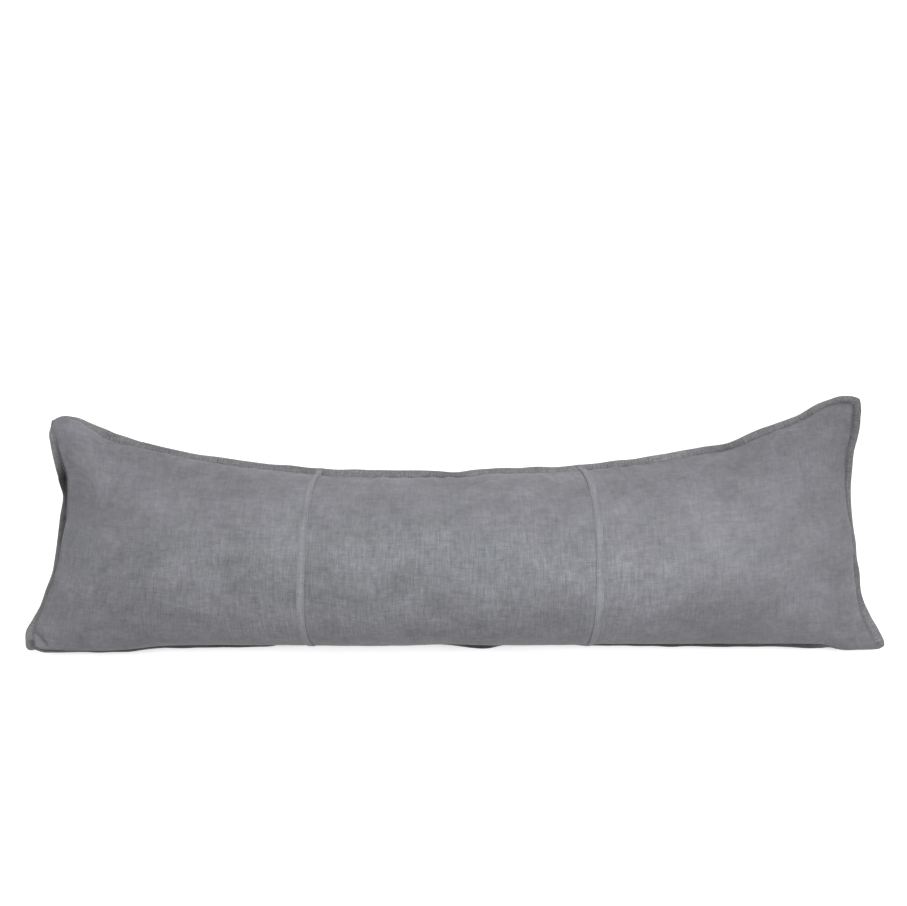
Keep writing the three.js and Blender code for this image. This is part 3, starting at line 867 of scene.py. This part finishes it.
def side_shade(side, share, away, valley, reach_column):
    """Painted shade and light near one side of the stitch line. valley: how much darker it is painted."""
    rows = PAINTED_POCKETS[side]
    shade = 1 - valley * bump(away, VALLEY_WIDE)
    for place, reach, wide, dark in zip(rows["share"], rows["reach"], rows[reach_column], rows["dark"]):
        shade = shade * (1 - dark * bump((share - place) * SIDE_LENGTH[side], reach) * bump(away, wide))
    return shade


def cover_shade(angle, away):
    """How light each place of a grid of the cover is painted, as painted shade and light."""
    shade = np.ones(angle.shape)
    for side, distance in away.items():
        place = share_grid if side in ("top", "bottom") else height_share(angle)
        shade = shade * side_shade(side, place, distance, VALLEY_PAINTED_SHADE[side], "face")
    return shade


# the crease is painted darker, as painted shade
face_shade = cover_shade(face_angle, face_away) * (1 - CREASE["dark"] * crease)
back_shade = cover_shade(back_angle, back_away)
cover_points, cover_quads, _, _ = closed_cover(face, back)
cover_cloth = np.concatenate(
    [
        corners(np.stack([cloth_u, face_v], axis=-1)),
        corners(np.stack([cloth_u, -back_v], axis=-1), flip=True),
    ]
)
shade_points = np.concatenate([face_shade.ravel(), back_shade[1:-1, 1:-1].ravel()])
cover = new_piece("cushion_cover", cover_points, cover_quads, cover_cloth, shade_points, linens["panel"])
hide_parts("cushion_body")


# The flange: sections all round the stitch line, with a fan of them at each corner

SIDES = ("bottom", "right", "top", "left")
LOOP_COLUMNS = ("seam", "outward", "turn", "lift", "width", "place")


def side_places(side, t):
    """Shares and angles along one side of the stitch line, counter-clockwise."""
    if side == "bottom":
        return t, lower_seam_angle(t)
    if side == "top":
        return 1 - t, np.full_like(t, 90.0)
    up = t if side == "right" else 1 - t
    share = np.full_like(t, 1.0 if side == "right" else 0.0)
    return share, np.degrees(np.arcsin(2 * up - 1))


def flange_side(side):
    """Even steps along one side: points of the stitch line, outward directions, turn and lift."""
    t = np.linspace(0, 1, DENSE)
    run = run_along(body_points(*side_places(side, t)))
    steps = int(round(run[-1] / FLANGE_STEP))
    t = np.interp(np.linspace(0, run[-1], steps + 1), run, t)
    share, angle = side_places(side, t)
    seam = body_points(share, angle)
    heading = smoothed(np.gradient(seam[:, :2], axis=0), HEADING_STEPS)
    outward = unit(np.stack([heading[:, 1], -heading[:, 0]], axis=1))
    if side in ("bottom", "top"):
        place = share
        turn = along(LONG_EDGES, "lower" if side == "bottom" else "upper", share)
    else:
        place = height_share(angle)
        turn = along(SHORT_EDGES, side + "_turn", place)
    lift = np.zeros_like(t)
    for at, reach, high in rows_of(FLANGE_WAVES[side]):
        lift += high * bump((place - at) * SIDE_LENGTH[side], reach)
    width = np.full_like(t, FLANGE_WIDTH)
    return {"seam": seam, "outward": outward, "turn": turn, "lift": lift, "width": width, "place": place}


def corner_fan(before, after):
    """Sections that swing round a corner from the end of one side to the start of the next."""
    start = math.atan2(before["outward"][-1, 1], before["outward"][-1, 0])
    end = math.atan2(after["outward"][0, 1], after["outward"][0, 0])
    swing = (end - start) % (2 * math.pi)
    t = np.linspace(0, 1, CORNER_FAN + 2)[1:-1]
    heading = start + swing * t
    square = 1 / np.cos(swing * np.minimum(t, 1 - t))
    fan = {"seam": np.repeat(before["seam"][-1:], CORNER_FAN, axis=0)}
    fan["outward"] = np.stack([np.cos(heading), np.sin(heading)], axis=1)
    fan["width"] = FLANGE_WIDTH * (1 + CORNER_SQUARENESS * (square - 1))
    fan["turn"] = mix(before["turn"][-1], after["turn"][0], t)
    fan["lift"] = mix(before["lift"][-1], after["lift"][0], t)
    fan["place"] = np.repeat(before["place"][-1:], CORNER_FAN)
    return fan


flange_sides = {side: flange_side(side) for side in SIDES}
loop_parts = []
for side, following in zip(SIDES, SIDES[1:] + SIDES[:1]):
    loop_parts.append((side, flange_sides[side]))
    loop_parts.append((side, corner_fan(flange_sides[side], flange_sides[following])))
loop = {column: np.concatenate([part[column] for _, part in loop_parts]) for column in LOOP_COLUMNS}


def flange_points(part, out, half):
    """Points of the flange at a share of its width out from the stitch line, above or below its middle."""
    turn = np.radians(part["turn"])[:, None]
    level = np.concatenate([part["outward"], np.zeros((len(turn), 1))], axis=1)
    upward = np.array([[0.0, 0.0, 1.0]])
    outwards = level * np.cos(turn) - upward * np.sin(turn)
    faces = level * np.sin(turn) + upward * np.cos(turn)
    reach = out * (part["width"] + FLANGE_TUCK) - FLANGE_TUCK
    stand = half + part["lift"] * out**FLANGE_CURL
    return part["seam"] + outwards * reach[:, None] + faces * stand[:, None]


# How light the flange is painted along each side: painted shade and light for how it is lit where it bends,
# darkest as painted shadow along the lower edge and in the pocket at the left end.
FLANGE_PAINTED_SHADING = side_tables(
    "share tone",
    top=[
        (0.0, 1.2), (0.04, 1.1), (0.07, 0.9), (0.1, 0.96), (0.15, 1.0), (0.46, 1.0), (0.495, 0.8),
        (0.53, 1.03), (0.61, 1.13), (0.7, 1.14), (0.8, 1.02), (0.849, 0.78), (0.88, 0.95),
        (0.94, 0.94), (1.0, 0.93),
    ],
    left=[
        (0.0, 1.35), (0.07, 1.3), (0.16, 0.95), (0.3, 0.8), (0.6, 0.7), (0.68, 0.35), (0.74, 0.4),
        (0.8, 0.8), (0.86, 1.05), (0.93, 1.25), (1.0, 1.3),
    ],
    right=[(0.0, 1.2), (0.06, 1.15), (0.12, 1.05), (0.2, 1.0), (0.6, 1.05), (0.75, 0.86), (1.0, 0.86)],
    bottom=[
        (0.0, 0.9), (0.015, 0.5), (0.03, 0.38), (0.25, 0.38), (0.4, 0.45), (0.53, 0.38),
        (0.77, 0.36), (0.93, 0.4), (0.955, 0.7), (0.98, 1.1), (1.0, 1.2),
    ],
)

# Small forms of the flange and its painted shade, in a valley at its root and in its nips. Its nips are
# deepest at one share of its width and fade both ways from there.
FLANGE_VALLEY_PAINTED_SHADE = 0.1
FLANGE_NIP_PITCH = 4.6
FLANGE_NIP_OUT = 0.3
FLANGE_NIP_DEPTH = 0.25
FLANGE_NIP_DEPTH_REACH = 0.35
FLANGE_NIP_PAINTED_SHADE = 0.26
FLANGE_NIP_PAINTED_SHADE_REACH = 0.4
WOBBLE_SIZE = 60
WOBBLE_LIFT = 0.35
WOBBLE_WIDTH = 0.1
RIM_LIGHT = 0.03
RIM_REACH = 0.12
flange_run = run_along(flange_points(loop, 0.5, 0.0))
nips = ticks(flange_run, FLANGE_NIP_PITCH, FLANGE_SEEDS["nips"])
loop["lift"] = loop["lift"] + WOBBLE_LIFT * ripple(flange_run, WOBBLE_SIZE, FLANGE_SEEDS["lift"])
loop["width"] = loop["width"] + WOBBLE_WIDTH * ripple(flange_run, WOBBLE_SIZE, FLANGE_SEEDS["width"])


def nipped(out, half):
    """Half the thickness of the flange at a share of its width, drawn in by the nips."""
    return half - FLANGE_NIP_DEPTH * nips * bump(out - FLANGE_NIP_OUT, FLANGE_NIP_DEPTH_REACH)


section_points = list(rows_of(FLANGE_SECTION))
rings = [flange_points(loop, out, nipped(out, half)) for out, half in section_points]
rings.append(flange_points(loop, 1.0, np.zeros_like(flange_run)))
rings += [flange_points(loop, out, -nipped(out, half)) for out, half in section_points[::-1]]
flange_grid = np.stack(rings, axis=1)

# Out from the root at 0 to the rim at 1, and back on the other side to the root at 2
ring_out = np.concatenate([FLANGE_SECTION["out"], [1.0], 2 - FLANGE_SECTION["out"][::-1]])
closed_ids = np.pad(numbers_of(flange_grid), ((0, 1), (0, 1)), mode="wrap")
closed_run = np.append(flange_run, flange_run[-1] + FLANGE_STEP)
closed_out = np.append(ring_out, 2.0) * FLANGE_WIDTH
flange_cloth = np.stack(np.meshgrid(closed_run, closed_out, indexing="ij"), axis=-1)

ring_away = np.minimum(ring_out, 2 - ring_out)[None, :] * FLANGE_WIDTH
# painted shade and light of the flange: its tone along each side, the valley and pockets at its root, its
# nips, and a slightly lighter rim
flange_shade = np.concatenate(
    [
        along(FLANGE_PAINTED_SHADING[side], "tone", part["place"])[:, None]
        * side_shade(side, part["place"][:, None], ring_away, FLANGE_VALLEY_PAINTED_SHADE, "border")
        for side, part in loop_parts
    ]
)
nip_shade = FLANGE_NIP_PAINTED_SHADE * bump(ring_out - FLANGE_NIP_OUT, FLANGE_NIP_PAINTED_SHADE_REACH)
flange_shade = flange_shade * (1 - nips[:, None] * nip_shade[None, :])
flange_shade = flange_shade * (1 + RIM_LIGHT * bump(ring_out - 1.0, RIM_REACH)[None, :])

flange = new_piece(
    "flange_border",
    flange_grid.reshape(-1, 3),
    corners(closed_ids),
    corners(flange_cloth),
    flange_shade,
    linens["flange"],
)
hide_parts("flange")


# Sewing: short stitches that dip into the cloth at both ends

STITCH_PITCH = 3.2
STITCH_LENGTH = 2.4
STITCH_RADIUS = 0.3

# One stitch. run: share of its length, thick: share of its radius, high: how far it stands up, in radii
STITCH_SECTION = table(
    "run thick high",
    (0.0, 0.45, -1.0), (0.2, 0.9, 0.1), (0.5, 1.0, 0.5), (0.8, 0.9, 0.1), (1.0, 0.45, -1.0),
)


def stitch_row(line, stand):
    """Points and patches of a row of stitches along a line, with the directions they stand up in."""
    run = run_along(line)
    side = np.cross(stand, unit(np.gradient(line, axis=0)))
    count = int(run[-1] / STITCH_PITCH)
    starts = (np.arange(count) + 0.5) * run[-1] / count - STITCH_LENGTH / 2
    at = starts[:, None] + STITCH_SECTION["run"][None, :] * STITCH_LENGTH
    middle, up, across = (at_places(at, run, vectors) for vectors in (line, stand, side))
    thick = STITCH_RADIUS * STITCH_SECTION["thick"][None, :, None]
    middle = middle + up * STITCH_RADIUS * STITCH_SECTION["high"][None, :, None]
    points = np.stack([middle + thick * toward for toward in (across, up, -across, -up)], axis=2)
    ids = numbers_of(points)
    around = np.pad(ids, ((0, 0), (0, 0), (0, 1)), mode="wrap").transpose(2, 1, 0)
    tubes = corners(around).transpose(0, 2, 1).reshape(-1, 4)
    return points.reshape(-1, 3), np.concatenate([tubes, ids[:, 0, ::-1], ids[:, -1]])


def sewing(name, rows):
    """One piece of all the stitches along some rows."""
    points, quads = [], []
    total = 0
    for line, stand in rows:
        row_points, row_quads = stitch_row(line, stand)
        points.append(row_points)
        quads.append(row_quads + total)
        total += len(row_points)
    quads = np.concatenate(quads)
    points = np.concatenate(points)
    return new_piece(name, points, quads, points[quads][..., :2], np.ones(total), linens["thread"])


closed_loop = {column: np.concatenate([values, values[:1]]) for column, values in loop.items()}
flange_rows = []
for facing in (1, -1):
    line = flange_points(closed_loop, STITCH_OUT, facing * STITCH_HALF)
    stand = flange_points(closed_loop, STITCH_OUT, facing * (STITCH_HALF + 1)) - line
    flange_rows.append((line, stand))
sewing("flange_stitching", flange_rows)


# The felled seams: narrow raised strips from the rim of the upper flange to the rim of the lower one

# Section of a strip. across: share of half its width, from its own panel to the middle panel, high: how
# far it stands off the cloth, shade: how light it is painted there: a little lighter on its crests, with
# painted shade along its rows of stitches and a painted shadow beside the middle panel.
STRIP_SECTION = table(
    "across high shade",
    (-1.15, 0.05, 1.0), (-1.0, 0.25, 1.0), (-0.88, 0.6, 1.03), (-0.66, 0.5, 0.97), (-0.4, 0.8, 1.02),
    (0.0, 0.85, 1.03), (0.4, 0.8, 1.02), (0.66, 0.55, 0.96), (0.86, 0.85, 1.03), (1.0, 0.6, 0.85),
    (1.06, 0.25, 0.45), (1.2, 0.05, 0.5),
)
STRIP_CLEAR = 0.25
STRIP_NIP_PITCH = 4.8
STRIP_NIP_DEPTH = 0.22
# painted shade in the nips of the strips
STRIP_NIP_PAINTED_SHADE = 0.06
SEWN_ACROSS = (-0.66, 0.66)

# How strongly the painted shadow beside the middle panel shows, from the upper rim of a strip to its lower
# one
STRIP_SHADOWS = side_tables(
    "share strength",
    left=[(0.0, 0.7), (0.1, 0.6), (0.22, 0.35), (0.65, 0.3), (0.7, 0.85), (0.8, 1.0), (1.0, 1.0)],
    right=[(0.0, 0.7), (0.05, 1.0), (0.14, 0.9), (0.22, 0.4), (0.68, 0.35), (0.74, 0.8), (1.0, 1.0)],
)
SHADOW_SHADE = 0.9  # a shade of the section that is darker than this belongs to the shadow
UPPER_LEAN = {"left": 4.0, "right": -6.0}  # how far a strip goes on leaning across the upper flange


def flange_line(side, share, lean):
    """The upper side of the flange from its root to its rim, starting at one share of a long side."""
    part = flange_sides[side]
    order = np.argsort(part["place"])
    points = []
    for out, half in section_points:
        at = np.array([share + lean * out / LENGTH])
        here = {name: at_places(at, part["place"][order], part[name][order]) for name in LOOP_COLUMNS}
        points.append(flange_points(here, out, half))
    return np.concatenate(points)


def strip_line(share, lean):
    """A line on the cloth from the upper rim over the face to the lower rim, in even steps."""
    column = np.interp(share, shares, np.arange(COVER_COLUMNS + 1))
    low = int(column)
    on_face = mix(face[low], face[low + 1], column - low)
    upper = flange_line("top", share, lean)[::-1]
    lower = flange_line("bottom", share, 0.0)
    line = np.concatenate([upper, on_face[::-1], lower])
    run = run_along(line)
    even = np.linspace(0, run[-1], STRIP_STEPS)
    return at_places(even, run, line)


def felled_strip(side, node, seam, inward):
    """A strip over one felled seam, and the rows that it is sewn along. inward is the direction of the
    middle panel, 1 or -1."""
    half_width = SEAM_WIDTH / 2 / LENGTH
    section = {column: values[::inward] for column, values in STRIP_SECTION.items()}
    across = section["across"] * inward
    base = np.stack([strip_line(seam + step * half_width, UPPER_LEAN[side]) for step in across], axis=1)
    base = smoothed(base, STRIP_EVEN_STEPS)
    stand = normals_of(base)
    run = run_along(base[:, len(across) // 2])
    nip = ticks(run, STRIP_NIP_PITCH, STRIP_SEEDS[side])[:, None]
    high = section["high"][None, :] * (1 - STRIP_NIP_DEPTH * nip)
    upper = base + stand * (STRIP_CLEAR + high)[..., None]
    lower = (base + stand * STRIP_CLEAR)[:, ::-1]
    grid = np.concatenate([upper, lower], axis=1)
    ids = numbers_of(grid)
    ring = np.pad(ids, ((0, 0), (0, 1)), mode="wrap")
    above, below = ids[:, : len(across)], ids[:, : len(across) - 1 : -1]
    pairs = np.stack([above, below], axis=-1)
    caps = np.concatenate([corners(pairs[0]), corners(pairs[-1], flip=True)])
    quads = np.concatenate([corners(ring), caps])
    place = np.concatenate([section["across"], section["across"][::-1]]) * SEAM_WIDTH / 2
    cloth = np.stack(np.meshgrid(run, np.append(place, place[0]), indexing="ij")[::-1], axis=-1)
    cloth = np.concatenate([corners(cloth), np.zeros((len(caps), 4, 2))])
    strength = along(STRIP_SHADOWS[side], "strength", run / run[-1])[:, None]
    tone = section["shade"][None, :]
    tone = np.where(tone < SHADOW_SHADE, 1 - (1 - tone) * strength, tone) * (1 - STRIP_NIP_PAINTED_SHADE * nip)
    shade = np.concatenate([tone, tone[:, ::-1]], axis=1)
    piece = new_piece("felled_strip_" + side, grid.reshape(-1, 3), quads, cloth, shade, linens["strip"])
    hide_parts(node)
    sewn = [int(np.argmin(np.abs(across - step))) for step in SEWN_ACROSS]
    return [(upper[:, k], stand[:, k]) for k in sewn]


strip_rows = felled_strip("left", "felled_seam_left", SEAM_SHARES[0], 1)
strip_rows += felled_strip("right", "felled_seam_right", SEAM_SHARES[1], -1)
sewing("felled_stitching", strip_rows)


# Stage, light and camera

FLOOR_HALF = 6.0
FLOOR_SURFACE = {
    "Base Color": (0.93, 0.93, 0.93, 1),
    "Roughness": 0.9,
    "Emission Color": (1, 1, 1, 1),
    "Emission Strength": 0.38,  # the floor glows, as a white sweep that is lit from below does in a studio
}
floor_mesh = bpy.data.meshes.new("floor")
floor_corners = [(x * FLOOR_HALF, y * FLOOR_HALF, 0) for x, y in ((-1, -1), (1, -1), (1, 1), (-1, 1))]
floor_mesh.from_pydata(floor_corners, [], [(0, 1, 2, 3)])
floor_material, floor_tree, floor_shader = new_material("floor_white")
feed(floor_tree, floor_shader, FLOOR_SURFACE)
floor_mesh.materials.append(floor_material)
floor = placed("floor", floor_mesh)


# Soft lights above the cushion: name, place and aim in metres, length and width, power in watts
LIGHTS = (
    ("middle", (0.1, 0.4, 1.4), (0.1, 0.05, 0.1), (1.6, 0.4), 10.2),
    ("right", (0.75, 0.05, 1.3), (0.75, 0.0, 0.1), (0.7, 0.5), 10.6),
    ("left", (-0.7, 0.07, 1.3), (-0.7, 0.0, 0.1), (0.7, 0.5), 8.3),
    ("top", (0.1, 1.2, 1.6), (0.1, 0.0, 0.1), (1.6, 0.8), 2.6),
)
WORLD_LIGHT = {"Color": (1, 1, 1, 1), "Strength": 0.25}


def area_light(name, place, aim, size, power):
    """A soft light of some length and width, turned towards a point."""
    data = bpy.data.lights.new(name, "AREA")
    data.shape = "ELLIPSE"
    data.size, data.size_y = size
    data.energy = power
    light = placed(name, data)
    light.location = place
    toward = Vector(aim) - Vector(place)
    light.rotation_euler = toward.to_track_quat("-Z", "Y").to_euler()


for light_row in LIGHTS:
    area_light(*light_row)
world = bpy.data.worlds.new("studio")
scene.world = world
world.use_nodes = True
feed(world.node_tree, world.node_tree.nodes["Background"], WORLD_LIGHT)
scene.view_settings.view_transform = "Standard"

# The photo looks square on to the face, so the camera looks straight down on it
CAMERA_PLACE = (-0.00226, 0.10044, 1.808)
CAMERA_LENS = 50
CAMERA_SENSOR = 36
camera_data = bpy.data.cameras.new("camera")
camera_data.lens = CAMERA_LENS
camera_data.sensor_width = CAMERA_SENSOR
camera = placed("camera", camera_data)
camera.location = CAMERA_PLACE
scene.camera = camera
